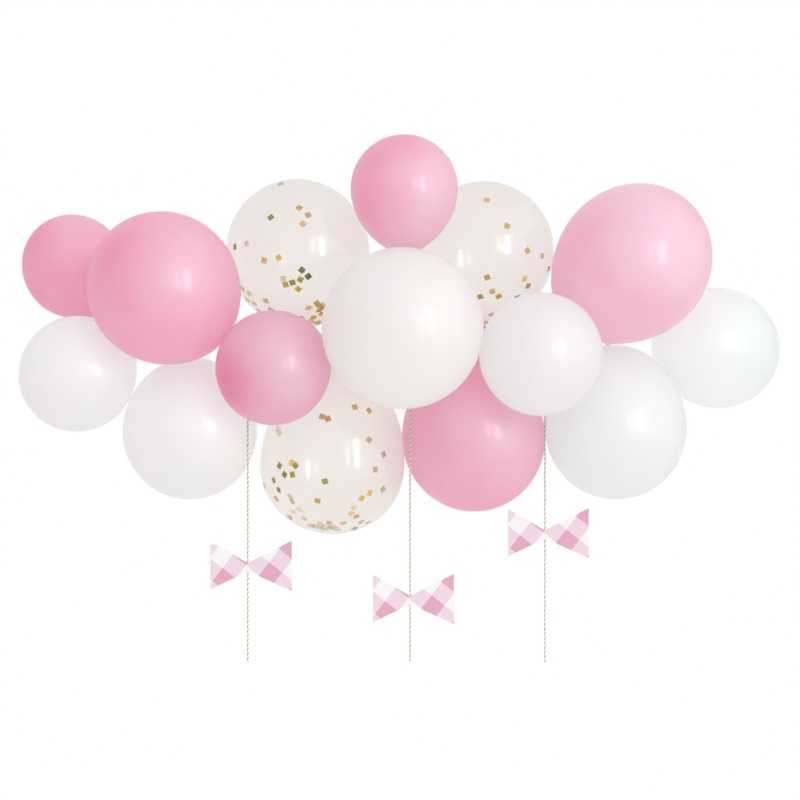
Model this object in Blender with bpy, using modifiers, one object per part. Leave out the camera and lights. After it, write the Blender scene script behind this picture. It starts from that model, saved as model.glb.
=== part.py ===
"""A hanging balloon arch: fifteen latex balloons tied to a decorating strip, with three bow-trimmed twines.

Metres, +Z up. The origin is the middle of the strip's back face, where the arch is hung. +X runs to the
right along the arch and +Y points to the wall behind it.
"""

import itertools
import math

import bmesh
import bpy
from mathutils import Euler, Vector

MM = 0.001
GAP = 0.3 * MM

# The strip that the tails are tied to: a flat band standing on edge, rising a little to the right and
# stepped back at both ends. Its line is the middle of the back face, as (x, y, z) in millimetres.
STRIP_WIDTH = 20 * MM
STRIP_THICKNESS = 1.2 * MM
STRIP_BEND_RADIUS = 24 * MM
STRIP_BEND_STEPS = 4
STRIP_LINE = [(-505, 26, -5), (-462, 26, -5), (-410, 0, -4), (302, 0, 3), (432, 80, 16), (454, 80, 16)]

# The tied end of a balloon: a stretched neck, a knot, and a tail that flares to its rolled lip.
NECK_RADIUS = 4.5 * MM
KNOT_RADIUS = 7.5 * MM
KNOT_LENGTH = 9 * MM
TAIL_LENGTH = 12 * MM
LIP_RADIUS = 8 * MM
LIP_THICKNESS = 2.4 * MM
BALLOON_SIDES = 18
CROWN_STEPS = 5
TAPER_ANGLES = (20, 40, 57, 72, 90)

# A balloon's form: the length of its crown, the fullness of the half towards the neck, and the length of
# that half, each as a share of the widest radius.
ROUND = (1.0, 1.0, 1.28)

# Each balloon: its latex, its middle (x, y, z) and widest radius in millimetres, its form, and where its
# tail ends on the strip, as millimetres to the right and millimetres above the strip's middle line.
BALLOONS = {
    "balloon_pink_far_left": ("pink_latex", (-623, 22, 138), 97, (1.05, 0.97, 1.28), (-478, 0)),
    "balloon_pink_large_left": ("pink_latex", (-445, -141, 94), 140.5, (1.05, 1.05, 1.28), (-335, -2)),
    "balloon_confetti_upper_left": ("clear_latex", (-197, -39, 164), 135, (1.02, 1.0, 1.28), (-170, 0)),
    "balloon_pink_top": ("pink_latex", (4, -138, 280), 100, (1.0, 1.12, 1.28), None),
    "balloon_confetti_upper_right": ("clear_latex", (155, -7, 167), 132, ROUND, (152, -6)),
    "balloon_pink_large_right": ("pink_latex", (436, -43, 145), 143, (1.08, 1.11, 1.28), (291, 0)),
    "balloon_white_far_right": ("white_latex", (603, 91, -15), 115, (1.05, 1.08, 1.10), (445, 0)),
    "balloon_white_far_left": ("white_latex", (-612, -37, -65), 109, (1.03, 0.98, 1.13), (-494, 2)),
    "balloon_white_lower_left": ("white_latex", (-402, -6, -175), 127, (1.01, 1.10, 1.12), (-386, -2)),
    "balloon_pink_small_left": ("pink_latex", (-241, -142, -55), 107, ROUND, (-142, 3)),
    "balloon_confetti_lower": ("clear_latex", (-132, -30, -240), 136, (0.94, 1.38, 1.61), (-114, 2)),
    "balloon_white_large_centre": ("white_latex", (1, -196, 18), 150, ROUND, (-4, 2)),
    "balloon_white_small_right": ("white_latex", (258, -159, -30), 115, ROUND, (250, -6)),
    "balloon_white_lower_right": ("white_latex", (405, -2, -169), 134, (1.0, 1.22, 1.24), (386, -2)),
    "balloon_pink_lower": ("pink_latex", (136, 20, -187), 136, (1.03, 1.12, 1.28), (118, -1)),
}

# The top balloon is glued to the clear one on its right, and its tail hangs free above the strip.
FREE_TAILS = {"balloon_pink_top": (4, -78, 130)}

# Each twine is tied at the strip, passes over the balloons below it, and hangs to a bare end.
TWINE_DIAMETER = 3 * MM
TWINE_POINTS = 25
TWINES = {
    "twine_left": [(-290, -3, 2), (-290, -4, -20), (-290, -14, -46), (-290, -30, -76), (-290, -46, -106),
                   (-290, -61, -136), (-290, -70, -170), (-290, -72, -200), (-290, -72, -240),
                   (-290, -72, -607)],
    "twine_middle": [(15, -3, 4), (15, -4, -12), (15, -12, -50), (15, -25, -100), (15, -42, -145),
                     (15, -49, -170), (15, -51, -200), (15, -51, -250), (15, -51, -608)],
    "twine_right": [(270, -3, 6), (270, -4, -8), (270, -8, -50), (270, -14, -100), (270, -20, -150),
                    (270, -22, -200), (270, -22, -260), (270, -22, -610)],
}

# A bow is one flat card cut to two wings that meet in a narrow waist: each wing's reach to the side, and
# its corners above and below the waist's middle. The left bow's upper left corner is cut off level.
BOW_THICKNESS = 0.8 * MM
BOW_WAIST = 8 * MM
BOW_LEFT_WING = (-70, 48, -41.5)
BOW_RIGHT_WING = (82.5, 49.5, -44.5)
CUT_CORNERS = {"bow_left": 42.5 * MM}
BOW_HEIGHTS = {"bow_left": ("twine_left", -429), "bow_middle": ("twine_middle", -492),
               "bow_right": ("twine_right", -369)}

# Colour (red, green, blue), roughness and metallic value of each finish.
FINISHES = {
    "pink_latex": ((0.85, 0.41, 0.56), 0.35, 0.0),
    "white_latex": ((0.91, 0.90, 0.90), 0.35, 0.0),
    "clear_latex": ((0.85, 0.82, 0.81), 0.15, 0.0),
    "strip_plastic": ((0.88, 0.89, 0.90), 0.30, 0.0),
    "twisted_twine": ((0.62, 0.52, 0.36), 0.80, 0.0),
    "gingham_card": ((0.85, 0.57, 0.70), 0.60, 0.0),
}


def clear_scene():
    for old in list(bpy.data.objects):
        bpy.data.objects.remove(old, do_unlink=True)


def collection_named(name):
    made = bpy.data.collections.new(name)
    bpy.context.scene.collection.children.link(made)
    return made


def finish_of(name):
    """The material of a finish, made the first time that it is asked for."""
    made = bpy.data.materials.get(name)
    if made is None:
        colour, roughness, metallic = FINISHES[name]
        made = bpy.data.materials.new(name)
        made.use_nodes = True
        shader = made.node_tree.nodes["Principled BSDF"]
        shader.inputs["Base Color"].default_value = (*colour, 1.0)
        shader.inputs["Roughness"].default_value = roughness
        shader.inputs["Metallic"].default_value = metallic
    return made


def add_object(name, data, collection, finish):
    made = bpy.data.objects.new(name, data)
    collection.objects.link(made)
    data.materials.append(finish_of(finish))
    return made


def millimetres(point):
    return Vector(point) * MM


def strip_middle(along):
    """The middle of the strip's back face at a place along the arch, in millimetres."""
    for left, right in zip(STRIP_LINE, STRIP_LINE[1:]):
        if along <= right[0]:
            return Vector(left).lerp(Vector(right), (along - left[0]) / (right[0] - left[0]))
    return Vector(STRIP_LINE[-1])


def tail_end(name):
    """The end of a balloon's tail: in front of the strip, its lip resting on it, or hanging free."""
    if name in FREE_TAILS:
        return millimetres(FREE_TAILS[name])
    along, above = BALLOONS[name][4]
    place = strip_middle(along)
    ahead = strip_middle(along + 1) - place
    front = Vector((ahead.y, -ahead.x, 0)).normalized()
    return (place + Vector((0, 0, above))) * MM + front * (STRIP_THICKNESS + LIP_RADIUS + 3 * GAP)


def body_length(radius, form, reach):
    """The length of the half towards the neck, kept short enough to leave room for the tied end."""
    return min(form[2] * radius, reach - KNOT_LENGTH - TAIL_LENGTH - NECK_RADIUS)


def balloon_outline(radius, form, reach):
    """Half of a tied balloon's outline, as (distance from the axis, height) from the crown to the lip.

    The crown half is an ellipse. The other half is drawn out to the neck by a power of the cosine that
    sets how full it stays next to its widest place.
    """
    crown, fullness, length = form
    body = body_length(radius, form, reach)
    power = (body / radius / fullness) ** 2
    outline = [(0.0, crown * radius)]
    for step in range(1, CROWN_STEPS + 1):
        angle = math.radians(90 - 90 * step / CROWN_STEPS)
        outline.append((radius * math.cos(angle), crown * radius * math.sin(angle)))
    for degrees in TAPER_ANGLES:
        angle = math.radians(degrees)
        width = radius * max(math.cos(angle), 0.0) ** power
        outline.append((math.hypot(width, NECK_RADIUS), -body * math.sin(angle)))
    knot = KNOT_LENGTH + TAIL_LENGTH - reach
    outline += [
        (NECK_RADIUS, knot),
        (KNOT_RADIUS, knot - KNOT_LENGTH / 2),
        (NECK_RADIUS, knot - KNOT_LENGTH),
        (LIP_RADIUS, LIP_THICKNESS - reach),
        (LIP_RADIUS, -reach),
        (0.0, -reach),
    ]
    return outline


def make_balloon(name, collection):
    """One balloon, turned about its own axis, and set with its middle and its tail in their places."""
    finish, middle, radius, form, tail = BALLOONS[name]
    middle = millimetres(middle)
    axis = middle - tail_end(name)
    outline = balloon_outline(radius * MM, form, axis.length)
    mesh = bpy.data.meshes.new(name)
    points = [(width, 0.0, height) for width, height in outline]
    mesh.from_pydata(points, [(i, i + 1) for i in range(len(points) - 1)], [])
    balloon = add_object(name, mesh, collection, finish)
    turn = balloon.modifiers.new("Turned", "SCREW")
    turn.steps = turn.render_steps = BALLOON_SIDES
    turn.use_merge_vertices = True
    turn.merge_threshold = 0.05 * MM
    graph = bpy.context.evaluated_depsgraph_get()
    turned = bpy.data.meshes.new_from_object(balloon.evaluated_get(graph))
    balloon.modifiers.clear()
    balloon.data = turned
    turned.shade_smooth()
    balloon.rotation_euler = axis.to_track_quat("Z", "Y").to_euler()
    balloon.location = middle
    return balloon


def body_vertices(balloon):
    """The vertices of a balloon's round body, without its neck, knot and tail."""
    finish, middle, radius, form, tail = BALLOONS[balloon.name]
    reach = (millimetres(middle) - tail_end(balloon.name)).length
    lowest = -body_length(radius * MM, form, reach) - GAP
    return [v for v in balloon.data.vertices if v.co.z > lowest]


def reach_towards(points, direction):
    return max(point.dot(direction) for point in points)


def parting_plane(first, second, between):
    """The direction and the two reaches for which two round bodies overlap least."""
    def overlap(direction):
        near, far = reach_towards(first, direction), reach_towards(second, -direction)
        return near + far + GAP - between.dot(direction), near, far

    best = between.normalized()
    least = overlap(best)
    for degrees in (8, 4, 2, 1, 0.5):
        tilt = math.radians(degrees)
        turns = [Euler(t).to_matrix() for t in itertools.product((-tilt, 0, tilt), repeat=3)]
        for turn in turns:
            tried = overlap(turn @ best)
            if tried[0] < least[0]:
                best, least = turn @ best, tried
    return best, least


def press(balloon, direction, limit):
    """Flattens what a balloon has past a plane that faces it, at that distance from its middle."""
    local = (balloon.matrix_world.to_3x3().inverted() @ direction).normalized()
    for vertex in body_vertices(balloon):
        past = vertex.co.dot(local) - limit
        if past > 0:
            vertex.co -= past * local


def press_neighbours(balloons):
    """Presses neighbours flat where they meet, each giving way by half, with a hair's gap between."""
    bodies = {}
    for balloon in balloons:
        turned = balloon.matrix_world.to_3x3()
        bodies[balloon.name] = [turned @ vertex.co for vertex in body_vertices(balloon)]
    pressed = []
    for first, second in itertools.combinations(balloons, 2):
        between = second.matrix_world.translation - first.matrix_world.translation
        direction, (overlap, near, far) = parting_plane(bodies[first.name], bodies[second.name], between)
        if overlap > 0:
            pressed.append((first, direction, near - overlap / 2))
            pressed.append((second, -direction, far - overlap / 2))
    for balloon, direction, limit in pressed:
        press(balloon, direction, limit)


def rounded_plan(corners, radius, steps):
    """A bent line with its corners rounded to a radius."""
    line = [Vector(corners[0])]
    for before, corner, after in zip(corners, corners[1:], corners[2:]):
        before, corner, after = Vector(before), Vector(corner), Vector(after)
        back, on = (before - corner).normalized(), (after - corner).normalized()
        half = back.angle(on) / 2
        centre = corner + (back + on).normalized() * radius / math.sin(half)
        start = corner + back * radius / math.tan(half) - centre
        end = corner + on * radius / math.tan(half) - centre
        first = math.atan2(start.y, start.x)
        turn = math.remainder(math.atan2(end.y, end.x) - first, 2 * math.pi)
        for step in range(steps + 1):
            angle = first + turn * step / steps
            line.append(centre + radius * Vector((math.cos(angle), math.sin(angle))))
    line.append(Vector(corners[-1]))
    return line


def make_strip(collection):
    """The decorating strip: a ribbon standing on edge along its plan, thickened towards the front."""
    corners = [(x * MM, y * MM) for x, y, z in STRIP_LINE]
    plan = rounded_plan(corners, STRIP_BEND_RADIUS, STRIP_BEND_STEPS)
    line = [Vector((p.x, p.y, strip_middle(p.x / MM).z * MM)) for p in plan]
    edge = Vector((0, 0, STRIP_WIDTH / 2))
    mesh = bpy.data.meshes.new("balloon_strip")
    shape = bmesh.new()
    low = [shape.verts.new(p - edge) for p in line]
    high = [shape.verts.new(p + edge) for p in line]
    for i in range(len(line) - 1):
        shape.faces.new((low[i + 1], low[i], high[i], high[i + 1]))
    shape.to_mesh(mesh)
    shape.free()
    strip = add_object("balloon_strip", mesh, collection, "strip_plastic")
    thick = strip.modifiers.new("Thickness", "SOLIDIFY")
    thick.thickness = STRIP_THICKNESS
    thick.offset = -1.0
    thick.use_even_offset = True
    return strip


def smooth_route(points, count):
    """Points spaced evenly along a smooth curve through a route's own points."""
    ends = [2 * points[0] - points[1], *points, 2 * points[-1] - points[-2]]
    fine = []
    for a, b, c, d in zip(ends, ends[1:], ends[2:], ends[3:]):
        for step in range(40):
            t = step / 40
            fine.append(0.5 * (2 * b + (c - a) * t + (2 * a - 5 * b + 4 * c - d) * t**2
                               + (3 * b - a - 3 * c + d) * t**3))
    fine.append(points[-1])
    along = [0.0]
    for before, after in zip(fine, fine[1:]):
        along.append(along[-1] + (after - before).length)
    route, i = [], 0
    for step in range(count):
        at = along[-1] * step / (count - 1)
        while i < len(along) - 2 and along[i + 1] < at:
            i += 1
        share = (at - along[i]) / (along[i + 1] - along[i])
        route.append(fine[i].lerp(fine[i + 1], min(share, 1.0)))
    return route


def make_twine(name, collection):
    route = smooth_route([millimetres(p) for p in TWINES[name]], TWINE_POINTS)
    line = bpy.data.curves.new(name, "CURVE")
    line.dimensions = "3D"
    spline = line.splines.new("POLY")
    spline.points.add(len(route) - 1)
    for point, place in zip(spline.points, route):
        point.co = (*place, 1.0)
    line.bevel_depth = TWINE_DIAMETER / 2
    line.bevel_resolution = 2
    line.use_fill_caps = True
    return add_object(name, line, collection, "twisted_twine")


def make_bow(name, collection):
    """A flat bow-tie card, glued by its waist to the front of a hanging twine."""
    twine, height = BOW_HEIGHTS[name]
    hang = millimetres(TWINES[twine][-1])
    left, left_top, left_foot = millimetres(BOW_LEFT_WING)
    right, right_top, right_foot = millimetres(BOW_RIGHT_WING)
    outline = [(left, left_foot), (0, -BOW_WAIST), (right, right_foot), (right, right_top), (0, BOW_WAIST)]
    if name in CUT_CORNERS:
        cut = CUT_CORNERS[name]
        share = (cut - BOW_WAIST) / (left_top - BOW_WAIST)
        outline += [(left * share, cut), (left, cut)]
    else:
        outline.append((left, left_top))
    card = bpy.data.curves.new(name, "CURVE")
    card.dimensions = "2D"
    card.fill_mode = "BOTH"
    card.extrude = BOW_THICKNESS / 2
    spline = card.splines.new("POLY")
    spline.points.add(len(outline) - 1)
    for point, (x, z) in zip(spline.points, outline):
        point.co = (x, z, 0.0, 1.0)
    spline.use_cyclic_u = True
    bow = add_object(name, card, collection, "gingham_card")
    bow.rotation_euler = (math.radians(90), 0, 0)
    front = hang.y - TWINE_DIAMETER / 2 - GAP - BOW_THICKNESS / 2
    bow.location = (hang.x, front, height * MM)
    return bow


def main():
    clear_scene()
    arch = collection_named("balloon_arch")
    balloons = [make_balloon(name, arch) for name in BALLOONS]
    bpy.context.view_layer.update()
    press_neighbours(balloons)
    make_strip(arch)
    for name in TWINES:
        make_twine(name, arch)
    for name in BOW_HEIGHTS:
        make_bow(name, arch)


main()
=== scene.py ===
# %% [markdown]
# # A balloon arch with three bow-trimmed twines
#
# The real object is a short garland for a party wall. Fifteen latex balloons, pink, white and clear, hang
# from a flat plastic strip. Fourteen are tied to it by their tails, and the top one is glued to its
# neighbour. Three twines hang from the strip too, with a gingham card bow on each. The solids come from a
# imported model, the frame. The balloons, twines and strip made here take the place of theirs, with finer
# shapes and real finishes, and the bows keep theirs. The confetti, the ties and the dots of glue are added.

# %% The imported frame
import bpy
import itertools
import math
import random
import bmesh
import numpy as np
from mathutils import Euler, Matrix, Vector
from mathutils.bvhtree import BVHTree


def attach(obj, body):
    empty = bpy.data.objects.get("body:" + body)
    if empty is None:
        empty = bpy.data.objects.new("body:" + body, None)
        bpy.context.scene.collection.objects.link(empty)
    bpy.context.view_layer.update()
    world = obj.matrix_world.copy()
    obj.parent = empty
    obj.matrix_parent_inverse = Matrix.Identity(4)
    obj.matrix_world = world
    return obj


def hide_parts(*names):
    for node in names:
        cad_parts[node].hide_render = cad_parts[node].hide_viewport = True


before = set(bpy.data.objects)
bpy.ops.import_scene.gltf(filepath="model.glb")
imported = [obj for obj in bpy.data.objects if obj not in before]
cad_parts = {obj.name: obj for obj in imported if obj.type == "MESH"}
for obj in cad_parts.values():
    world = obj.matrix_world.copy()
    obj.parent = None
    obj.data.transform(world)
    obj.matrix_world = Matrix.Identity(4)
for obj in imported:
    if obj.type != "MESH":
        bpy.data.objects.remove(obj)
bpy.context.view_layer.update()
MM = 0.001

# %% [markdown]
# ## The camera
#
# A photograph taken from far away with a long lens keeps round things round. The camera stands eight metres
# in front of the nearest balloon, level with the lower part of that big middle balloon, and looks straight at
# the wall. The lens is worked out so that one pixel of an 800-pixel picture is 1.85 mm wide there.

# %% Camera
STAND_OFF = 8.0
NEAREST_BALLOON = -0.196
CAMERA_ACROSS = -0.004
CAMERA_HEIGHT = -0.115
PICTURE_WIDTH = 800
PIXEL = 1.85 * MM
camera = bpy.data.objects.new("camera", bpy.data.cameras.new("camera"))
bpy.context.scene.collection.objects.link(camera)
camera.data.sensor_width = 36.0
camera.data.lens = camera.data.sensor_width * STAND_OFF / (PICTURE_WIDTH * PIXEL)
camera.location = (CAMERA_ACROSS, NEAREST_BALLOON - STAND_OFF, CAMERA_HEIGHT)
camera.rotation_euler = (math.radians(90), 0, 0)
camera.data.clip_end = 60
bpy.context.scene.camera = camera
print("camera: a lens of", round(camera.data.lens, 1), "mm at", tuple(camera.location))

# %% [markdown]
# ## Colours, nodes and meshes
#
# Colours are read from a screen, so they are written as sRGB hex values, and one function turns them into
# the linear light that shaders work in. A second function adds one node with its settings and its links.
# A third starts a finish: a material whose only shader is the Principled one. Hardly any real surface is one
# even colour, so a fourth makes a finish that wanders between colours in patches of a given size. Then there
# is a function that makes a piece from corners and faces, and one that draws a round tube along a line.

# %% Helpers for finishes
def linear(colour):
    """The linear value of an sRGB hex colour."""
    parts = [int(colour[i:i + 2], 16) / 255 for i in (1, 3, 5)]
    return (*[p / 12.92 if p <= 0.04045 else ((p + 0.055) / 1.055) ** 2.4 for p in parts], 1.0)


def add_node(tree, kind, settings=(), links=()):
    """Adds one shader node. Settings name its properties or sockets, and links feed its sockets."""
    node = tree.nodes.new("ShaderNode" + kind)
    for name, value in dict(settings).items():
        if name == "stops":
            while len(node.color_ramp.elements) < len(value):
                node.color_ramp.elements.new(1.0)
            for element, (position, colour) in zip(node.color_ramp.elements, value):
                element.position = position
                element.color = linear(colour)
        elif isinstance(name, int) or name in node.inputs:
            node.inputs[name].default_value = value
        else:
            setattr(node, name, value)
    for name, output in dict(links).items():
        tree.links.new(output, node.inputs[name])
    return node


def new_finish(name, settings):
    """A material with one Principled shader. Returns the material, its node tree and the shader."""
    finish = bpy.data.materials.new(name)
    finish.use_nodes = True
    tree = finish.node_tree
    tree.nodes.clear()
    shader = add_node(tree, "BsdfPrincipled", settings)
    add_node(tree, "OutputMaterial", links={"Surface": shader.outputs["BSDF"]})
    print("finish:", name)
    return finish, tree, shader


print("mid grey is", round(linear("#808080")[0], 3), "in linear light")


# %% Mottled finishes
def mottled_finish(name, settings, patch, detail, stops, relief=None):
    """A finish whose colour wanders between stops in patches of one size, with a relief that follows them."""
    finish, tree, shader = new_finish(name, settings)
    place = add_node(tree, "TexCoord")
    patches = add_node(tree, "TexNoise", {"Scale": 1 / patch, "Detail": detail},
                       {"Vector": place.outputs["Object"]})
    colour = add_node(tree, "ValToRGB", {"stops": stops}, {"Fac": patches.outputs["Fac"]})
    tree.links.new(colour.outputs["Color"], shader.inputs["Base Color"])
    if relief:
        bump = add_node(tree, "Bump", {"Strength": relief[0], "Distance": relief[1]},
                        {"Height": patches.outputs["Fac"]})
        tree.links.new(bump.outputs["Normal"], shader.inputs["Normal"])
    return finish


print("finishes so far:", len(bpy.data.materials))


# %% Pieces
def new_piece(name, corners, faces, finishes, stands_for=None, at=(0, 0, 0)):
    """A smooth mesh piece that rides on the arch's one body, and may take the place of one of its solids."""
    mesh = bpy.data.meshes.new(name)
    mesh.from_pydata([tuple(c) for c in corners], [], faces)
    mesh.shade_smooth()
    for finish in finishes:
        mesh.materials.append(finish)
    piece = bpy.data.objects.new(name, mesh)
    piece.location = at
    bpy.context.scene.collection.objects.link(piece)
    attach(piece, "root")
    if stands_for:
        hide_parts(stands_for)
    return piece


# %% Tubes
OFF_AXIS = (0.31, 0.22, 0.92)


def tube(points, radius, sides, first, closed=False):
    """A round tube along a line, as corners and faces. Faces are numbered from the corner called first."""
    points = np.asarray(points, float)
    if closed:
        ahead = np.roll(points, -1, axis=0) - np.roll(points, 1, axis=0)
    else:
        ahead = np.gradient(points, axis=0)
    ahead /= np.linalg.norm(ahead, axis=1)[:, None]
    side = np.cross(ahead[0], OFF_AXIS)
    sides_along = []
    for way in ahead:
        side = side - way * (side @ way)
        side = side / np.linalg.norm(side)
        sides_along.append(side)
    turn = 0.0
    if closed:
        last = sides_along[-1] - ahead[0] * (sides_along[-1] @ ahead[0])
        turn = math.atan2(np.cross(sides_along[0], last) @ ahead[0], sides_along[0] @ last)
    corners, faces = [], []
    for i, (point, way, side) in enumerate(zip(points, ahead, sides_along)):
        up = np.cross(way, side)
        for k in range(sides):
            angle = 2 * math.pi * k / sides - turn * i / len(points)
            corners.append(point + radius * (math.cos(angle) * side + math.sin(angle) * up))
    rings = len(points)
    for i in range(rings if closed else rings - 1):
        here, there = first + i * sides, first + (i + 1) % rings * sides
        for k in range(sides):
            j = (k + 1) % sides
            faces.append((here + k, here + j, there + j, there + k))
    if not closed:
        faces.append(tuple(first + k for k in reversed(range(sides))))
        faces.append(tuple(first + (rings - 1) * sides + k for k in range(sides)))
    return corners, faces


print("faces of a straight tube:", len(tube([(0, 0, 0), (0, 0, 1)], 1, 8, 0)[1]))

# %% [markdown]
# ## The twines
#
# Baker's twine is two cotton plies, one cream and one gold, laid round each other. From a distance it reads
# as a line of gold dashes. It could be one tube with a striped material, but the two plies also give the
# line its knobbly edge, so each ply is modelled as its own thin tube on a helix. The route is the solid's
# own: tied at the strip, over the balloons below it, and then straight down to a bare end.

# %% Cotton finishes for the twine
# Spun cotton is matt, and its fibres catch a little light. A fibre is a fiftieth of a millimetre thick, too
# fine to show, so they are drawn as tufts of 0.9 mm.
COTTON = {"Roughness": 0.85, "IOR": 1.5, "Sheen Weight": 0.3, "Sheen Roughness": 0.5}
COTTON_TUFT = 0.9 * MM
COTTON_RELIEF = (0.5, 0.2 * MM)
cream_cotton = mottled_finish("cream_cotton_ply", COTTON, COTTON_TUFT, 3.0,
                              [(0.35, "#EAE4D7"), (0.65, "#F3EFE5")], COTTON_RELIEF)
gold_cotton = mottled_finish("gold_cotton_ply", COTTON, COTTON_TUFT, 3.0,
                             [(0.35, "#9D9277"), (0.65, "#B7AC92")], COTTON_RELIEF)

# %% The route of each twine
LINE_STEP = 0.8 * MM
CURVE_STEPS = 40
TWINE_ROUTES = {
    "twine_left": [(-290, -3, 2), (-290, -4, -20), (-290, -14, -46), (-290, -30, -76), (-290, -46, -106),
                   (-290, -61, -136), (-290, -70, -170), (-290, -72, -200), (-290, -72, -240),
                   (-290, -72, -607)],
    "twine_middle": [(15, -3, 4), (15, -4, -12), (15, -12, -50), (15, -25, -100), (15, -42, -145),
                     (15, -49, -170), (15, -51, -200), (15, -51, -250), (15, -51, -608)],
    "twine_right": [(270, -3, 6), (270, -4, -8), (270, -8, -50), (270, -14, -100), (270, -20, -150),
                    (270, -22, -200), (270, -22, -260), (270, -22, -610)],
}


def smooth_line(points):
    """Evenly spaced points on a smooth curve through a route's points, and how far along it each one is."""
    ends = np.array([2 * points[0] - points[1], *points, 2 * points[-1] - points[-2]])
    fine = []
    for a, b, c, d in zip(ends, ends[1:], ends[2:], ends[3:]):
        for t in np.arange(CURVE_STEPS) / CURVE_STEPS:
            fine.append(0.5 * (2 * b + (c - a) * t + (2 * a - 5 * b + 4 * c - d) * t**2
                               + (3 * b - a - 3 * c + d) * t**3))
    fine = np.array([*fine, points[-1]])
    along = np.concatenate([[0], np.cumsum(np.linalg.norm(np.diff(fine, axis=0), axis=1))])
    stations = np.linspace(0, along[-1], round(along[-1] / LINE_STEP) + 1)
    line = np.column_stack([np.interp(stations, along, fine[:, i]) for i in range(3)])
    return line, stations


twine_lines = {}
for name, route in TWINE_ROUTES.items():
    line, stations = smooth_line(np.array(route) * MM)
    twine_lines[name] = line, stations
    print(name, "is", round(stations[-1] / MM), "mm long")

# %% Two plies laid round each route
TWINE_PITCH = 8.7 * MM
PLY_RADIUS = 0.92 * MM
PLY_OFFSET = 0.82 * MM
PLY_SIDES = 8


def lay_twine(name, line, stations, stands_for=None):
    """A piece of twine along a line: two plies on a helix round it, each in its own cotton."""
    ahead = np.gradient(line, axis=0)
    ahead /= np.linalg.norm(ahead, axis=1)[:, None]
    side = np.array([1.0, 0.0, 0.0])
    corners, faces, plies = [], [], []
    for ply in (0, 1):
        helix = []
        for point, way, at in zip(line, ahead, stations):
            side = side - way * (side @ way)
            side = side / np.linalg.norm(side)
            angle = 2 * math.pi * at / TWINE_PITCH + math.pi * ply
            out = math.cos(angle) * side + math.sin(angle) * np.cross(way, side)
            helix.append(point + PLY_OFFSET * out)
        made, walls = tube(helix, PLY_RADIUS, PLY_SIDES, len(corners))
        corners += made
        faces += walls
        plies += [ply] * len(walls)
    piece = new_piece(name, corners, faces, [cream_cotton, gold_cotton], stands_for)
    piece.data.polygons.foreach_set("material_index", plies)
    print(name, "has", len(faces), "faces")
    return piece


twines = {}
for name, (line, stations) in twine_lines.items():
    twines[name] = lay_twine(name + "_plies", line, stations, name)

# %% [markdown]
# ## The card bows
#
# Each bow is one flat piece of printed card, cut like a bow tie and glued by its waist to the front of its
# twine. The frame's solid has that shape already, so it stays, and gets a finish. The print is gingham: two
# sets of stripes cross, white where neither runs, pale pink where one does, and deeper pink where both do.
# They are 31 mm wide and turned 38 degrees. Stripes worked out from the place stay sharp in a close view,
# where a painted picture of them would blur. The way a face looks tells the finish what it is: the front
# has the print, and the back and the cut edges show plain card. The left bow's upper left corner is cut off
# level.

# %% Printed card
# The card is matt and hardly coated, with a faint tooth that keeps its highlights soft.
GINGHAM_PERIOD = 62.4 * MM
GINGHAM_TURN = math.radians(-38)
GINGHAM_START = Vector((26.1 * MM, 0, 1.0 * MM))


def gingham_finish(name, waist):
    """Printed card with its stripes laid out from the bow's waist."""
    finish, tree, shader = new_finish(name, {"Roughness": 0.7, "IOR": 1.47, "Specular IOR Level": 0.3})
    start = (Matrix.Rotation(GINGHAM_TURN, 3, "Y") @ waist + GINGHAM_START) / GINGHAM_PERIOD
    place = add_node(tree, "TexCoord")
    turned = add_node(tree, "Mapping", {"Rotation": (0, GINGHAM_TURN, 0), "Scale": (1 / GINGHAM_PERIOD,) * 3,
                                        "Location": tuple(-start)}, {"Vector": place.outputs["Object"]})
    axes = add_node(tree, "SeparateXYZ", links={"Vector": turned.outputs["Vector"]})
    stripes = []
    for axis in "XZ":
        within = add_node(tree, "Math", {"operation": "FRACT"}, {0: axes.outputs[axis]})
        stripes.append(add_node(tree, "Math", {"operation": "LESS_THAN", 1: 0.5}, {0: within.outputs[0]}))
    inked = add_node(tree, "Math", {"operation": "ADD"},
                     {0: stripes[0].outputs[0], 1: stripes[1].outputs[0]})
    half = add_node(tree, "Math", {"operation": "MULTIPLY", 1: 0.5}, {0: inked.outputs[0]})
    inks = add_node(tree, "ValToRGB", {"stops": [(0.0, "#E6E5E5"), (0.25, "#DEC8D4"), (0.75, "#D29EB5")]},
                    {"Fac": half.outputs[0]})
    inks.color_ramp.interpolation = "CONSTANT"
    face = add_node(tree, "NewGeometry")
    looks = add_node(tree, "SeparateXYZ", links={"Vector": face.outputs["True Normal"]})
    front = add_node(tree, "Math", {"operation": "LESS_THAN", 1: -0.5}, {0: looks.outputs["Y"]})
    sides = add_node(tree, "MixRGB", {"Color1": linear("#D8D4CE")},
                     {"Fac": front.outputs[0], "Color2": inks.outputs["Color"]})
    # Paper fibres are finer than a tenth of a millimetre. They are drawn at 0.6 mm, so a close view has them.
    fibres = add_node(tree, "TexNoise", {"Scale": 1 / (0.6 * MM), "Detail": 2.0},
                      {"Vector": place.outputs["Object"]})
    mottled = add_node(tree, "MixRGB", {"blend_type": "SOFT_LIGHT", "Fac": 0.10},
                       {"Color1": sides.outputs["Color"], "Color2": fibres.outputs["Color"]})
    grain = add_node(tree, "Bump", {"Strength": 0.25, "Distance": 0.05 * MM},
                     {"Height": fibres.outputs["Fac"]})
    tree.links.new(mottled.outputs["Color"], shader.inputs["Base Color"])
    tree.links.new(grain.outputs["Normal"], shader.inputs["Normal"])
    return finish


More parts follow.
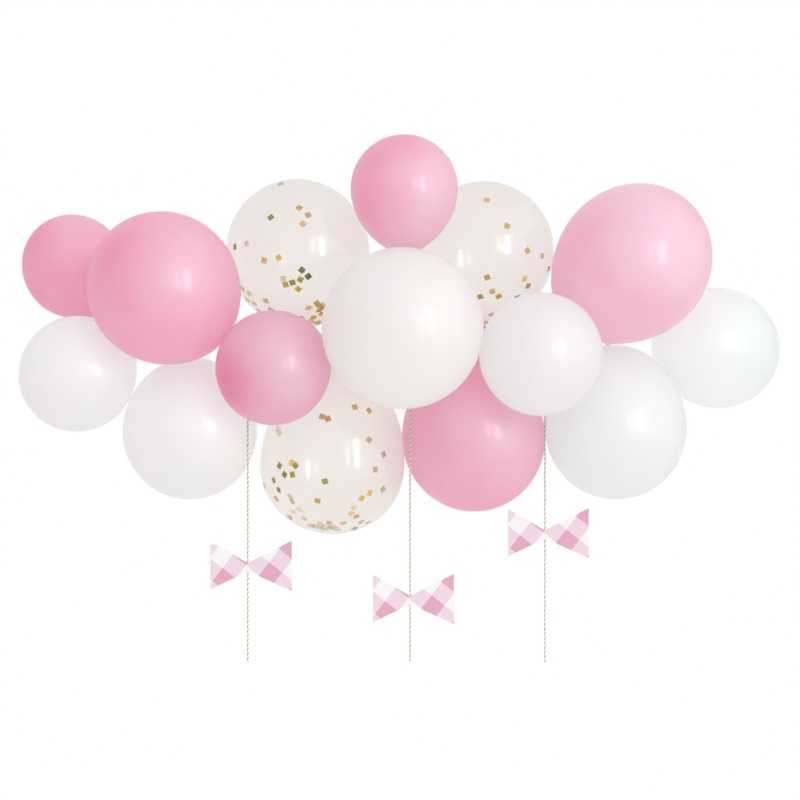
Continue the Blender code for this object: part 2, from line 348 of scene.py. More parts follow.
# %% Bows on their twines
# Each bow's twine, and the height of its waist in millimetres.
BOW_WAISTS = {"bow_left": ("twine_left", -429), "bow_middle": ("twine_middle", -492),
              "bow_right": ("twine_right", -369)}
for name, (twine, height) in BOW_WAISTS.items():
    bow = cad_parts[name]
    waist = Vector((TWINE_ROUTES[twine][-1][0], 0, height)) * MM
    bow.material_slots[0].material = gingham_finish("gingham_printed_card_" + name, waist)
    print(name, "hangs on", twine)

# %% The twines, counted
for name, twine in twines.items():
    line, stations = twine_lines[name]
print("cords:", len(twines))

# %% [markdown]
# ## Latex
#
# A balloon is dipped natural rubber, a third of a millimetre thick before it is blown up and far thinner
# after. Blown up, its colour pales where the rubber has stretched most, round the middle, and stays deep at
# the crown and towards the neck, where it has hardly stretched. The skin is smooth with a soft gloss, so
# windows show in it as bright soft patches. Each mesh carries a number for how thick its latex still is, and
# on most balloons the same number also carries painted highlight, painted shade and painted reflection.
# Coloured latex lets part of the light through, scattered, so the whole balloon glows. Latex without pigment
# is clear: light goes straight through a skin this thin, and only takes a rosy tint where it is thicker. On
# the clear balloons' sides that rosy tint is a painted reflection of their pink neighbours.

# %% Latex finishes
CLOUD_STRENGTH = 0.24


def latex_finish(name, skin_stops, inside_stops, through, settings):
    """Dipped latex: its colours run from fully stretched to thick, with faint clouds and a fine skin."""
    finish, tree, shader = new_finish(name, settings)
    place = add_node(tree, "TexCoord")
    # The number read here is the latex's thickness, with painted highlight, shade and reflection added to it.
    thickness = add_node(tree, "Attribute", {"attribute_name": "latex_thickness"})
    # Dipping leaves faint clouds of thicker latex, about 60 mm across once it is blown up.
    clouds = add_node(tree, "TexNoise", {"Scale": 1 / (60 * MM), "Detail": 2.0},
                      {"Vector": place.outputs["Object"]})
    uneven = add_node(tree, "Math", {"operation": "MULTIPLY_ADD", 1: CLOUD_STRENGTH, 2: -CLOUD_STRENGTH / 2},
                      {0: clouds.outputs["Fac"]})
    depth = add_node(tree, "Math", {"operation": "ADD", "use_clamp": True},
                     {0: thickness.outputs["Fac"], 1: uneven.outputs[0]})
    colour = add_node(tree, "ValToRGB", {"stops": skin_stops}, {"Fac": depth.outputs[0]})
    # Moulding marks on the skin are a few hundredths of a millimetre deep. They only soften the gloss.
    marks = add_node(tree, "TexNoise", {"Scale": 1 / (1.5 * MM), "Detail": 2.0},
                     {"Vector": place.outputs["Object"]})
    bump = add_node(tree, "Bump", {"Strength": 0.06, "Distance": 0.1 * MM}, {"Height": marks.outputs["Fac"]})
    gloss = add_node(tree, "MapRange", {"To Min": settings["Roughness"] - 0.04,
                                        "To Max": settings["Roughness"] + 0.06},
                     {"Value": clouds.outputs["Fac"]})
    tree.links.new(colour.outputs["Color"], shader.inputs["Base Color"])
    tree.links.new(gloss.outputs["Result"], shader.inputs["Roughness"])
    tree.links.new(bump.outputs["Normal"], shader.inputs["Normal"])
    if through:
        # Light inside crosses the skin again and again, and takes colour each time, so one crossing is paler.
        crossing = add_node(tree, "ValToRGB", {"stops": inside_stops}, {"Fac": depth.outputs[0]})
        glow = add_node(tree, "BsdfTranslucent", links={"Color": crossing.outputs["Color"]})
        skin = add_node(tree, "MixShader", {0: through}, {1: shader.outputs["BSDF"], 2: glow.outputs["BSDF"]})
        tree.links.new(skin.outputs["Shader"], tree.nodes["Material Output"].inputs["Surface"])
    return finish


# %% Pink, white and clear latex
SOFT_GLOSS = {"Roughness": 0.4, "IOR": 1.52, "Specular IOR Level": 0.5, "Coat Weight": 0.75,
              "Coat Roughness": 0.12, "Coat IOR": 1.52}
# A skin too thin to bend the light that goes straight through it, with the gloss of latex on top.
THIN_CLEAR = {"Roughness": 0.05, "IOR": 1.02, "Transmission Weight": 0.96, "Coat Weight": 0.5,
              "Coat Roughness": 0.13, "Coat IOR": 1.52}
SCATTERED_THROUGH = 0.66
# White latex is cool and grey where thin, creamy where thicker, and a clean full white where thickest. The
# grey end also serves as painted shade on the white balloons.
LATEX = {
    "pink_latex": latex_finish("pink_dipped_latex", [(0.0, "#ECD1E0"), (1.0, "#EC6D9A")],
                               [(0.0, "#F9E8EF"), (1.0, "#FAABCA")], SCATTERED_THROUGH, SOFT_GLOSS),
    "white_latex": latex_finish("white_dipped_latex", [(0.0, "#E3EAEB"), (0.75, "#F3F4F2"), (1.0, "#F6F9F9")],
                                [(0.0, "#EEF3F4"), (0.75, "#F9FAF9"), (1.0, "#FBFDFD")],
                                SCATTERED_THROUGH, SOFT_GLOSS),
    "clear_latex": latex_finish("clear_dipped_latex", [(0.0, "#EDE8E4"), (1.0, "#E2BDBB")], [], 0.0,
                                THIN_CLEAR),
}

# %% [markdown]
# ## A balloon's form
#
# A blown-up balloon is a turned form: a round crown, a longer half that draws out to the neck, a knot, and a
# short tail that ends in the rolled lip. It could be a ball pulled long, but then the neck would be a cone.
# The outline's numbers are those of the solids, so that every balloon fills its solid. Here it has many more
# rings, pleats where the latex gathers at the neck, and a mouth.

# %% Sizes and places of the balloons
GAP = 0.3 * MM
NECK_RADIUS = 4.5 * MM
KNOT_RADIUS = 7.5 * MM
KNOT_LENGTH = 9 * MM
TAIL_LENGTH = 12 * MM
LIP_RADIUS = 8 * MM
STRIP_THICKNESS = 1.2 * MM
# The strip's back face, from left to right: across, back and up, in millimetres.
STRIP_LINE = [(-505, 26, -5), (-462, 26, -5), (-410, 0, -4), (302, 0, 3), (432, 80, 16), (454, 80, 16)]
# A form is the crown's height and the neck half's fullness and length, for a radius of one.
ROUND = (1.0, 1.0, 1.28)
# Latex, middle and widest radius in millimetres, form, and where the tail ends: along the strip and above it.
BALLOONS = {
    "balloon_pink_far_left": ("pink_latex", (-623, 22, 138), 97, (1.05, 0.97, 1.28), (-478, 0)),
    "balloon_pink_large_left": ("pink_latex", (-445, -141, 94), 140.5, (1.05, 1.05, 1.28), (-335, -2)),
    "balloon_confetti_upper_left": ("clear_latex", (-197, -39, 164), 135, (1.02, 1.0, 1.28), (-170, 0)),
    "balloon_pink_top": ("pink_latex", (4, -138, 280), 100, (1.0, 1.12, 1.28), None),
    "balloon_confetti_upper_right": ("clear_latex", (155, -7, 167), 132, ROUND, (152, -6)),
    "balloon_pink_large_right": ("pink_latex", (436, -43, 145), 143, (1.08, 1.11, 1.28), (291, 0)),
    "balloon_white_far_right": ("white_latex", (603, 91, -15), 115, (1.05, 1.08, 1.10), (445, 0)),
    "balloon_white_far_left": ("white_latex", (-612, -37, -65), 109, (1.03, 0.98, 1.13), (-494, 2)),
    "balloon_white_lower_left": ("white_latex", (-402, -6, -175), 127, (1.01, 1.10, 1.12), (-386, -2)),
    "balloon_pink_small_left": ("pink_latex", (-241, -142, -55), 107, ROUND, (-142, 3)),
    "balloon_confetti_lower": ("clear_latex", (-132, -30, -240), 136, (0.94, 1.38, 1.61), (-114, 2)),
    "balloon_white_large_centre": ("white_latex", (1, -196, 18), 150, ROUND, (-4, 2)),
    "balloon_white_small_right": ("white_latex", (258, -159, -30), 115, ROUND, (250, -6)),
    "balloon_white_lower_right": ("white_latex", (405, -2, -169), 134, (1.0, 1.22, 1.24), (386, -2)),
    "balloon_pink_lower": ("pink_latex", (136, 20, -187), 136, (1.03, 1.12, 1.28), (118, -1)),
}
FREE_TAILS = {"balloon_pink_top": (4, -78, 130)}


def strip_middle(along):
    """The middle of the strip's back face at a place along the arch, in millimetres."""
    for left, right in zip(STRIP_LINE, STRIP_LINE[1:]):
        if along <= right[0]:
            return Vector(left).lerp(Vector(right), (along - left[0]) / (right[0] - left[0]))
    return Vector(STRIP_LINE[-1])


def tail_end(name):
    """Where a balloon's lip is: resting on the front of the strip, or hanging free."""
    if name in FREE_TAILS:
        return Vector(FREE_TAILS[name]) * MM
    along, above = BALLOONS[name][4]
    here = strip_middle(along)
    ahead = strip_middle(along + 1) - here
    front = Vector((ahead.y, -ahead.x, 0)).normalized()
    return (here + Vector((0, 0, above))) * MM + front * (STRIP_THICKNESS + LIP_RADIUS + 3 * GAP)


print("balloons:", len(BALLOONS))

# %% The rings of one balloon
CROWN_RINGS = 25
NECK_RINGS = 37
LIP_ROLL = 1.2 * MM
# Rings inside the knot, along the tail and back up in its mouth. Each has its radius and its height in
# millimetres, above the knot or above the lip, and the depth of its pleats.
IN_KNOT = [(4.14, 0.4, 0.13), (3.2, -1, 0.1), (3.0, -8, 0.1)]
TAIL = [(3.3, 11.5, 0.16), (3.5, 10, 0.18), (3.9, 8, 0.18), (4.6, 6, 0.16), (5.6, 4, 0.12), (6.3, 2.8, 0.08)]
MOUTH = [(4.6, 3.4, 0.08), (2.8, 6, 0.12), (1.4, 8, 0.1)]
MOUTH_END = 8.4 * MM


def balloon_rings(radius, form, reach):
    """Rings from crown to mouth: distance from the axis, height, depth of pleats and thickness of latex."""
    crown, fullness, length = form
    body = min(length * radius, reach - KNOT_LENGTH - TAIL_LENGTH - NECK_RADIUS)
    power = (body / radius / fullness) ** 2
    rings = []
    # Latex is thicker within 52 degrees of the crown and within 60 degrees of the neck. The pleats start 40
    # degrees from the neck.
    for degrees in np.linspace(90, 0, CROWN_RINGS + 2)[1:-1]:
        a = math.radians(degrees)
        near_crown = max(0.0, (degrees - 38) / 52)
        thick = near_crown**2 * (3 - 2 * near_crown)
        rings.append((radius * math.cos(a), crown * radius * math.sin(a), 0.0, thick))
    for degrees in np.linspace(0, 90, NECK_RINGS):
        a = math.radians(degrees)
        near_neck = max(0.0, (degrees - 50) / 40)
        width = math.hypot(radius * max(math.cos(a), 0.0) ** power, NECK_RADIUS)
        thick = max(0.0, (degrees - 30) / 60) ** 1.5
        rings.append((width, -body * math.sin(a), 0.10 * near_neck**3, thick))
    knot = KNOT_LENGTH + TAIL_LENGTH - reach
    rings += [(width * MM, knot + height * MM, pleat, 1.0) for width, height, pleat in IN_KNOT]
    rings += [(width * MM, height * MM - reach, pleat, 1.0) for width, height, pleat in TAIL]
    for degrees in range(100, -161, -26):
        a = math.radians(degrees)
        rings.append((LIP_RADIUS - LIP_ROLL + LIP_ROLL * math.cos(a), LIP_ROLL * (1 + math.sin(a)) - reach,
                      0.03, 1.0))
    rings += [(width * MM, height * MM - reach, pleat, 1.0) for width, height, pleat in MOUTH]
    return rings, body


print("rings of a balloon of 300 mm:", len(balloon_rings(150 * MM, ROUND, 230 * MM)[0]))

# %% The skin of one balloon
SIDES = 96
PLEATS = 11


def balloon_skin(radius, form, reach, seed):
    """Corners about the balloon's own axis, faces, thickness of the latex, and which corners are its body."""
    rings, body = balloon_rings(radius, form, reach)
    chance = random.Random(seed)
    phase = chance.uniform(0, 6.28)
    angles = 2 * np.pi * np.arange(SIDES) / SIDES
    wave = np.cos(PLEATS * angles + phase) + 0.5 * np.cos((PLEATS - 4) * angles + 2 * phase)
    corners, thick = [(0.0, 0.0, form[0] * radius)], [rings[0][3]]
    for width, height, pleat, deep in rings:
        around = width * (1 + pleat * wave)
        corners += list(zip(around * np.cos(angles), around * np.sin(angles), np.full(SIDES, height)))
        thick += [deep] * SIDES
    corners.append((0.0, 0.0, MOUTH_END - reach))
    thick.append(1.0)
    last = len(corners) - 1
    faces = [(0, 1 + k, 1 + (k + 1) % SIDES) for k in range(SIDES)]
    for i in range(len(rings) - 1):
        here, there = 1 + i * SIDES, 1 + (i + 1) * SIDES
        for k in range(SIDES):
            j = (k + 1) % SIDES
            faces.append((here + k, there + k, there + j, here + j))
    there = 1 + (len(rings) - 1) * SIDES
    faces += [(there + k, last, there + (k + 1) % SIDES) for k in range(SIDES)]
    corners = np.array(corners)
    return corners, faces, thick, corners[:, 2] > -body - GAP


print("corners in each ring:", SIDES)

# %% The knot
KNOT_ROLL = 2.1 * MM
KNOT_STEPS = 72
KNOT_SIDES = 10


def knot_roll(reach, first):
    """The rolled latex of the knot: a closed tube on the line of an overhand knot, between neck and tail."""
    middle = TAIL_LENGTH + KNOT_LENGTH / 2 - reach
    flat = (KNOT_RADIUS - KNOT_ROLL) / 3
    tall = KNOT_LENGTH / 2 - KNOT_ROLL
    line = []
    for t in np.linspace(0, 2 * np.pi, KNOT_STEPS, endpoint=False):
        line.append((flat * (math.sin(t) + 2 * math.sin(2 * t)), flat * (math.cos(t) - 2 * math.cos(2 * t)),
                     middle - tall * math.sin(3 * t)))
    return tube(line, KNOT_ROLL, KNOT_SIDES, first, closed=True)


print("faces of a knot:", len(knot_roll(KNOT_LENGTH, 0)[1]))

# %% [markdown]
# ## Neighbours press each other flat
#
# Balloons on a garland are pushed together, and where two meet both give way to a flat round patch. A
# simulation could press them, but a plane for each pair is quicker and gives the same patch every time. For
# each pair the plane with the least overlap is searched for, as in the solids. Then the skin that is past the
# plane is brought back to it. A soft limit rounds the edge of the patch, as stretched latex does.

# %% Turn every balloon to its place
skins = {}
for seed, (name, (_, middle, radius, form, _)) in enumerate(BALLOONS.items()):
    middle = Vector(middle) * MM
    axis = middle - tail_end(name)
    corners, faces, thick, round_body = balloon_skin(radius * MM, form, axis.length, seed)
    crown = corners[:, 2] > 0
    rolled, more_faces = knot_roll(axis.length, len(corners))
    corners = np.vstack([corners, rolled])
    turn = np.array(axis.to_track_quat("Z", "Y").to_matrix())
    none_of_knot = np.zeros(len(rolled), bool)
    skins[name] = {
        "middle": np.array(middle), "corners": corners @ turn.T, "faces": faces + more_faces,
        "thick": thick + [1.0] * len(rolled), "body": np.concatenate([round_body, none_of_knot]),
        "crown": np.concatenate([crown, none_of_knot]),
    }
print("corners in all:", sum(len(s["corners"]) for s in skins.values()))

# %% The plane between two balloons
def parting_plane(first, second, between):
    """The direction in which two bodies overlap least, the overlap, and how far each reaches along it."""
    def overlaps(ways):
        near = (first @ ways.T).max(axis=0)
        far = (second @ -ways.T).max(axis=0)
        return near + far + GAP - ways @ between, near, far

    best = between / np.linalg.norm(between)
    for degrees in (8, 4, 2, 1, 0.5):
        tilt = math.radians(degrees)
        turns = [np.array(Euler(t).to_matrix()) for t in itertools.product((0, -tilt, tilt), repeat=3)]
        ways = np.array([turn @ best for turn in turns])
        overlap, near, far = overlaps(ways)
        best = ways[int(overlap.argmin())]
    overlap, near, far = overlaps(best[None, :])
    return best, float(overlap[0]), float(near[0]), float(far[0])


# %% Find the planes and press
PATCH_EDGE = 4 * MM
NEAR_ENOUGH = 1.4


def soft_limit(past):
    """A distance past a plane, brought back to it, with a rounded approach."""
    rounded = -((PATCH_EDGE - past) ** 2) / (4 * PATCH_EDGE)
    return np.where(past > PATCH_EDGE, 0.0, np.where(past < -PATCH_EDGE, past, rounded))


bodies = {name: skin["corners"][skin["body"]] for name, skin in skins.items()}
pressed = []
for first, second in itertools.combinations(skins, 2):
    between = skins[second]["middle"] - skins[first]["middle"]
    if np.linalg.norm(between) > NEAR_ENOUGH * (BALLOONS[first][2] + BALLOONS[second][2]) * MM:
        continue
    way, overlap, near, far = parting_plane(bodies[first], bodies[second], between)
    if overlap > 0:
        pressed += [(first, way, near - overlap / 2), (second, -way, far - overlap / 2)]
        print(first, "meets", second, "over", round(overlap / MM, 1), "mm")
for name, way, limit in pressed:
    skin = skins[name]
    past = skin["corners"] @ way - limit
    moved = np.where(skin["body"], soft_limit(past) - past, 0.0)
    skin["corners"] = skin["corners"] + moved[:, None] * way

# %% [markdown]
# ## The dots of glue
#
# The top balloon is too far from the strip to be tied to it. Clear dots of glue, small discs of sticky gel,
# hold it to the clear balloon on its right. They are squeezed flat between the two skins. Each could be a
# flattened ball, but a gap of a third of a millimetre hides a round edge, so each is made as a thin disc in
# the gap. Three stand round the middle of the patch where the balloons press each other.

# %% Dots of glue
# Gel is soft and clear with a dull skin. Faint streaks from squeezing are 3 mm apart.
DOTS = 3
DOT_RADIUS = 5 * MM
DOT_THICKNESS = 0.24 * MM
DOT_SPREAD = 12 * MM
DOT_SIDES = 32
glue = mottled_finish("clear_glue_gel", {"Roughness": 0.25, "IOR": 1.48, "Alpha": 0.3}, 3 * MM, 2.0,
                      [(0.3, "#F1EFEA"), (0.7, "#FAF9F6")])
way, limit = next((way, limit) for name, way, limit in pressed if name == "balloon_pink_top")
outermost = bodies["balloon_pink_top"][int((bodies["balloon_pink_top"] @ way).argmax())]
centre = skins["balloon_pink_top"]["middle"] + outermost + way * (limit - outermost @ way + GAP / 2)
lift = Matrix.Translation(centre) @ Vector(way).to_track_quat("Z", "Y").to_matrix().to_4x4()
angles = 2 * np.pi * np.arange(DOT_SIDES) / DOT_SIDES
rim = [Vector((math.cos(a), math.sin(a), 0)) * DOT_RADIUS for a in angles]
sides = range(DOT_SIDES)
faces = [tuple(reversed(sides)), tuple(k + DOT_SIDES for k in sides)]
for k in sides:
    j = (k + 1) % DOT_SIDES
    faces.append((k, j, j + DOT_SIDES, k + DOT_SIDES))
for dot in range(DOTS):
    at = Vector((DOT_SPREAD, 0, 0))
    at.rotate(Matrix.Rotation(2 * math.pi * dot / DOTS, 3, "Z"))
    levels = [at + Vector((0, 0, side * DOT_THICKNESS / 2)) for side in (-1, 1)]
    corners = [lift @ (level + r) for level in levels for r in rim]
    piece = new_piece(f"glue_dot_{dot + 1}", corners, faces, [glue])
    piece.data.shade_flat()
print("dots of glue:", DOTS, "about", tuple(round(c / MM) for c in centre))

# %% [markdown]
# ## How thick the latex stays, and the light and shade painted into it
#
# Latex that is stretched most is thinnest and palest. A balloon that is blown up less keeps more of its
# colour all over, and dipping leaves it uneven, so each one has soft patches that are thicker or thinner. The
# patches could be one noise for all, but the real ones are few and wide, and each is given its own place.
# Most of the patches, and the whole-balloon numbers of the white ones, are also painted light and shade. They
# are paler towards the lit side as a painted highlight, deeper or greyer on the shaded side and underneath as
# painted shade, and rosy on the clear balloons as a painted reflection of the pink ones.

# %% Thickness of each balloon's latex, and its painted light and shade
# The thickness where the latex is stretched most, from 0 to 1. On the white balloons it is also painted
# light:
# those on the left are set lighter and those on the right darker.
STRETCHED_THICKNESS_AND_LIGHT = {
    "balloon_pink_far_left": 0.39, "balloon_pink_large_left": 0.34, "balloon_pink_top": 0.07,
    "balloon_pink_large_right": 0.0, "balloon_pink_small_left": 0.15, "balloon_pink_lower": 0.3,
    "balloon_white_large_centre": 0.73, "balloon_white_small_right": 0.62, "balloon_white_far_left": 0.95,
    "balloon_white_lower_left": 0.93, "balloon_white_lower_right": 0.42, "balloon_white_far_right": 0.58,
}
# How much of the thick crown shows.
USUAL_CROWN = 0.15
CROWN_THICKNESS = {"balloon_pink_small_left": 0.3, "balloon_pink_large_left": 0.55, "balloon_pink_lower": 0.3}
# Patches, partly uneven latex and mostly painted light and shade: the way out from the middle, the half angle
# in degrees, and the strength, with a minus if thinner.
LIGHT_AND_THICKNESS_PATCHES = {
    # On the pink balloons, thinner patches facing the light are a painted highlight. Thicker ones facing away
    # from it, mostly to the left, are painted shade. Both are partly the latex's own unevenness.
    "balloon_pink_far_left": [((-0.16, -0.95, -0.27), 26, 0.17), ((0.36, -0.46, 0.81), 75, -0.38),
                              ((-0.71, -0.44, 0.55), 40, 0.18)],
    "balloon_pink_large_left": [((-0.66, -0.44, 0.61), 58, -0.33), ((0.42, -0.80, 0.43), 75, -0.36),
                                ((0.24, -0.96, 0.13), 20, -0.36)],
    "balloon_pink_top": [((-0.77, -0.57, -0.27), 75, 0.48), ((0.01, -0.97, -0.25), 29, 0.13),
                         ((-0.28, -0.47, 0.84), 70, 0.37)],
    "balloon_pink_large_right": [((-0.81, -0.55, 0.19), 75, 0.36), ((0.12, -0.71, -0.69), 59, 0.29),
                                 ((0.58, -0.81, -0.10), 31, -0.21)],
    "balloon_pink_small_left": [((-0.92, -0.30, -0.26), 60, 0.65), ((0.73, -0.64, 0.23), 75, -0.39),
                                ((0.92, -0.28, 0.29), 71, 0.50)],
    "balloon_pink_lower": [((0.69, -0.72, -0.08), 56, -0.31), ((-0.09, -0.96, 0.27), 28, -0.17),
                           ((0.30, -0.95, 0.01), 23, -0.23)],
    # Painted shade: the two white balloons on the left turn grey towards the bottom. The far right one greys
    # to its right and is painted lighter to its left.
    "balloon_white_far_left": [((0.10, -0.55, -0.83), 75, -11.0)],
    "balloon_white_lower_left": [((0.0, -0.55, -0.83), 75, -8.5)],
    "balloon_white_far_right": [((0.90, -0.40, 0.10), 85, -1.30), ((-0.90, -0.35, 0.20), 75, 0.90)],
    # Painted reflection: the clear balloons turn rosy where their pink neighbours would show in them.
    "balloon_confetti_lower": [((0.95, -0.30, 0.15), 62, 0.8), ((0.2, -0.5, 0.85), 50, 0.3)],
    "balloon_confetti_upper_left": [((0.90, -0.40, 0.20), 50, 0.22), ((-0.70, -0.40, -0.60), 55, 0.25)],
    "balloon_confetti_upper_right": [((0.60, -0.60, -0.50), 50, 0.22)],
}
# The count includes the patches of painted light and shade.
print("patches of thicker or thinner latex:", sum(len(patches) for patches in LIGHT_AND_THICKNESS_PATCHES.values()))

# %% Balloon pieces
for name, skin in skins.items():
    latex = BALLOONS[name][0]
    balloon = new_piece(name + "_skin", skin["corners"], skin["faces"], [LATEX[latex]], name,
                        skin["middle"])
    # The number stored here is the latex's thickness, with painted highlight, shade and reflection added.
    thickness = balloon.data.attributes.new("latex_thickness", "FLOAT", "POINT")
    # For the white balloons this number is partly painted light.
    least = STRETCHED_THICKNESS_AND_LIGHT.get(name, 0.0)
    crown = CROWN_THICKNESS.get(name, USUAL_CROWN)
    depth = np.array(skin["thick"]) * np.where(skin["crown"], crown, 1.0)
    outward = skin["corners"] / np.linalg.norm(skin["corners"], axis=1)[:, None]
    for way, half_angle, strength in LIGHT_AND_THICKNESS_PATCHES.get(name, []):
        from_middle = np.degrees(np.arccos(np.clip(outward @ (way / np.linalg.norm(way)), -1, 1)))
        depth = depth + strength * np.clip(1 - (from_middle / half_angle) ** 2, 0, 1) ** 2
    thickness.data.foreach_set("value", np.clip(least + (1 - least) * depth, 0, 1).astype(np.float32))
print("faces in all balloons:", sum(len(skin["faces"]) for skin in skins.values()))

# %% [markdown]
# ## Confetti
#
# Inside the clear balloons are squares of gold foil, 11 mm across. Rubbing the balloon charges it, and the
# squares cling to its inside. They could be strewn at random, but the eye knows a balloon by its confetti, so
# each one has its place: how far right and above the balloon's middle in millimetres, whether it clings to
# the near or the far side, and how light its foil looks, which is painted reflection and shade. Each lies
# just inside the skin and bends with it, a little deeper or less deep than the one before, so that those in a
# heap lie over each other.

# %% Foil finish
# Foil is plastic film with a breath of metal on it. It shines like gold where it faces a window, and looks
# olive or tan elsewhere. That is painted in: one number for each square picks its colour, as a painted
# reflection and painted shade. Its creases are 4 mm apart.
foil, tree, shader = new_finish("gold_foil_confetti", {"Metallic": 0.25, "Roughness": 0.32,
                                                       "Specular IOR Level": 0.15})
foil_light = add_node(tree, "Attribute", {"attribute_name": "foil_tone"})
place = add_node(tree, "TexCoord")
creases = add_node(tree, "TexNoise", {"Scale": 1 / (4 * MM), "Detail": 2.0},
                   {"Vector": place.outputs["Object"]})
# From dark olive to bright gold: the shaded and lit looks of one foil, painted reflection and shade.
gold = add_node(tree, "ValToRGB", {"stops": [(0.0, "#665A06"), (0.3, "#A3971C"), (0.5, "#C79E5C"),
                                             (0.62, "#E2E4C8"), (0.8, "#CFAC38"), (1.0, "#E9D566")]},
                {"Fac": foil_light.outputs["Fac"]})
bump = add_node(tree, "Bump", {"Strength": 0.4, "Distance": 0.4 * MM}, {"Height": creases.outputs["Fac"]})
tree.links.new(gold.outputs["Color"], shader.inputs["Base Color"])
tree.links.new(bump.outputs["Normal"], shader.inputs["Normal"])

# %% Places of the squares
CONFETTI = {
    "upper_left": [
        (-31, 124, "far", 0.6), (-51, 66, "near", 0.25), (3, 84, "near", 0.45), (19, 68, "far", 0.7),
        (10, 54, "near", 0.51), (-119, 10, "near", 0.8), (-94, 15, "far", 0.6), (-64, -16, "near", 0.74),
        (-36, -11, "near", 0.9), (-116, -21, "far", 0.54), (8, -34, "near", 0.05), (20, -46, "near", 0),
        (5, -52, "near", 0.3), (-10, -58, "near", 0.2), (-23, -62, "near", 0.8), (-26, -49, "far", 0.66),
        (1, -70, "near", 0.85), (-101, -66, "far", 0.56), (-88, -76, "far", 0.57), (-91, -87, "far", 0.55),
        (-79, -94, "far", 0.56), (-71, -107, "far", 0.57), (-58, -89, "far", 0.53), (-49, -105, "far", 0.55),
        (-14, -114, "far", 0.53), (6, -120, "far", 0.75), (20, -102, "far", 0.7), (41, -102, "near", 1.0),
        (41, -111, "near", 1.0), (29, -120, "far", 0.85), (37, -129, "far", 0.85), (25, -129, "far", 0.7),
        (44, -97, "far", 0.95), (35, -136, "far", 0.8), (36, -97, "near", 1.0), (47, -106, "near", 0.72),
        (45, -117, "near", 1.0), (24, -126, "far", 0.6),
    ],
    "upper_right": [
        (5, 97, "near", 0.78), (44, 48, "near", 0.34), (35, 6, "near", 0.67), (83, 1, "near", 0.49),
        (107, -9, "far", 0.6), (123, -34, "near", 0.6), (77, -53, "near", 0.9), (81, -64, "far", 0.5),
        (6, -50, "near", 0.42), (16, -77, "near", 0.75), (28, -86, "near", 0.8), (-7, -87, "near", 0.42),
        (112, -71, "near", 0.6), (61, -86, "far", 0.4), (14, -118, "far", 0.72), (3, -132, "far", 0.75),
        (1, -141, "far", 0.5),
    ],
    "lower": [
        (43, 112, "near", 0.97), (70, 105, "near", 0.97), (-19, 94, "near", 0.53), (-8, 88, "far", 0.5),
        (-100, 68, "far", 0.6), (-96, 60, "far", 0.6), (67, 49, "far", 0.56), (94, 22, "far", 0.57),
        (79, -6, "far", 0.7), (93, -42, "far", 0.58), (-100, 1, "near", 0.3), (-74, 6, "far", 0.9),
        (-70, 1, "near", 0.36), (-91, -16, "near", 0.22), (-76, -16, "near", 0.38), (-111, -27, "near", 0.4),
        (-102, -45, "near", 0.35), (-102, -59, "far", 0.8), (-124, -35, "far", 0.3), (-80, -58, "near", 0.6),
        (-76, -67, "near", 0.7), (-14, -29, "near", 0.28), (-28, -66, "near", 0.8), (-71, -83, "far", 0.6),
        (-60, -79, "far", 0.6), (71, -51, "near", 0.8), (56, -61, "near", 0.8), (41, -78, "near", 0.7),
        (36, -90, "near", 0.95), (46, -96, "near", 0.5), (53, -101, "far", 0.6), (21, -108, "near", 0.75),
        (68, -107, "near", 0.5), (41, -113, "far", 0.5), (-53, -100, "near", 0.6), (-40, -108, "far", 0.6),
        (-29, -114, "near", 0.6), (-18, -108, "far", 0.7), (-2, -108, "far", 0.6), (-25, -117, "near", 0.6),
        (-11, -120, "near", 0.7), (3, -119, "near", 0.6), (-16, -114, "far", 0.6), (12, -122, "near", 0.6),
        (-128, 46, "far", 0.4), (-77, -92, "far", 0.8), (-34, -108, "far", 0.55), (-22, -105, "far", 0.7),
        (-6, -103, "far", 0.56), (-35, -116, "near", 0.67), (-4, -116, "near", 0.55), (6, -112, "far", 0.67),
    ],
}
print("squares:", sum(len(places) for places in CONFETTI.values()))

# %% One square of foil
FOIL_SIDE = 11 * MM
FOIL_THICKNESS = 0.12 * MM


def foil_square(point, outward, curve, spin, first, under_skin):
    """One square of foil, laid under the inside of the skin and bent with it: corners and faces."""
    outward = outward.normalized()
    across = outward.orthogonal().normalized()
    across.rotate(Matrix.Rotation(spin, 3, outward))
    up = outward.cross(across)
    corners, faces = [], []
    # Each of the two sides has four by four corners, and the rim goes once round their edge.
    for under in (0.0, FOIL_THICKNESS):
        for i, j in itertools.product(range(4), repeat=2):
            a, b = (i / 3 - 0.5) * FOIL_SIDE, (j / 3 - 0.5) * FOIL_SIDE
            drop = (a * a + b * b) / (2 * curve) + under_skin + under
            corners.append(point + across * a + up * b - outward * drop)
    rim = [0, 1, 2, 3, 7, 11, 15, 14, 13, 12, 8, 4]
    for i, j in itertools.product(range(3), repeat=2):
        a = first + 4 * i + j
        faces.append((a, a + 4, a + 5, a + 1))
        faces.append((a + 16, a + 17, a + 21, a + 20))
    for a, b in zip(rim, rim[1:] + rim[:1]):
        faces.append((first + a, first + b, first + b + 16, first + a + 16))
    return corners, faces


def on_skin(surface, eye, target, side):
    """Where the sight of a place meets the near or far side of a balloon, and the way out there."""
    way = (target - eye).normalized()
    hit, outward = surface.ray_cast(eye, way)[:2]
    if hit is not None and side == "far":
        beyond = surface.ray_cast(hit + way * 2 * MM, way)
        if beyond[0] is not None:
            hit, outward = beyond[:2]
    if hit is None:
        hit, outward = surface.find_nearest(target)[:2]
    return hit, outward if outward.dot(hit) >= 0 else -outward


print("a square of foil is", round(FOIL_SIDE / MM), "mm across")

